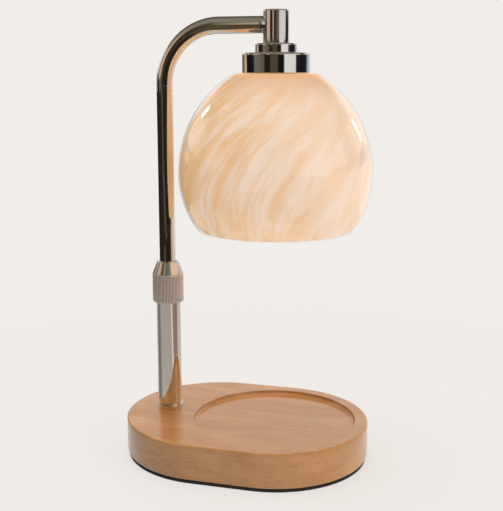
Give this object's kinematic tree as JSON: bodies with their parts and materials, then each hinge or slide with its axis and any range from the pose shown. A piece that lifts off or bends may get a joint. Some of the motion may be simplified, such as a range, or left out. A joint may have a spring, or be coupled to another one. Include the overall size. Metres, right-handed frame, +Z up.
{
  "type": "candle warmer lamp",
  "caption": "Table lamp that melts a candle from above: glass globe shade on a height-adjusting swing arm over a round-ended wooden base with a dished candle seat.",
  "frame": {"origin": "centre of the base pad's underside, on the table", "axes": "+Z up along the post; +X from the post to the candle seat, along the base; +Y to the flat back flank where the cord leaves"},
  "size_m": [0.162, 0.1234, 0.2887],
  "materials": {
    "beech": "rubberwood, sanded and clear oiled, fine level grain",
    "pad": "closed-cell foam rubber, matte black",
    "ballast": "raw steel plate, dark",
    "zinc": "zinc-plated hardware",
    "nickel": "polished nickel plate, mirror bright",
    "knurled_nickel": "nickel plate with straight knurling",
    "nylon": "natural nylon",
    "rubber_black": "moulded rubber",
    "holder_steel": "plated sheet steel",
    "ceramic_white": "glazed porcelain",
    "ring_plastic": "heat-proof moulding, white",
    "marbled_glass": "blown glass with milky cream and peach marbling",
    "bulb_glass": "clear borosilicate",
    "dichroic": "faceted reflector, bright inside",
    "pin_metal": "nickel-plated pins",
    "lead_sleeve": "silicone-insulated twin lead"
  },
  "bodies": {
    "base": {"wood_base": "beech", "base_pad": "pad", "ballast_plate": "ballast", "plate_screws": "zinc", "cord_bush": "rubber_black", "foot_washer": "zinc", "foot_nut": "zinc", "foot_rod": "zinc", "foot_plug": "zinc", "foot_ring": "nickel", "post_tube": "nickel", "clamp_body": "zinc", "clamp_collet": "nylon"},
    "nut": {"clamp_nut": "knurled_nickel"},
    "guide": {"guide_bush": "nylon"},
    "arm": {"arm_tube": "nickel", "tube_end_ring": "zinc", "head_tee": "nickel", "head_rod": "zinc", "neck_washer": "nickel", "shade_cap": "nickel", "cap_nut": "zinc", "holder_shell": "holder_steel", "holder_insert": "ceramic_white", "shade_ring": "ring_plastic", "glass_shade": "marbled_glass", "arm_lead": "lead_sleeve"},
    "bulb": {"bulb_base": "ceramic_white", "bulb_pins": "pin_metal", "bulb_reflector": "dichroic", "bulb_lens": "bulb_glass", "bulb_capsule": "bulb_glass"}
  },
  "joints": [
    {"name": "nut_turn", "type": "hinge", "parent": "base", "child": "nut", "pos_m": [-0.0545, 0, 0.11], "axis": [0, 0, 1], "range_deg": [0, 180]},
    {"name": "height_slide", "type": "slide", "parent": "base", "child": "guide", "axis": [0, 0, 1], "range_m": [-0.023, 0.028]},
    {"name": "arm_swivel", "type": "hinge", "parent": "guide", "child": "arm", "pos_m": [-0.0545, 0, 0.062], "axis": [0, 0, 1], "range_deg": [-90, 90]},
    {"name": "bulb_twist", "type": "hinge", "parent": "arm", "child": "bulb", "pos_m": [0.0193, 0, 0.23], "axis": [0, 0, 1], "range_deg": [0, 30]}
  ]
}
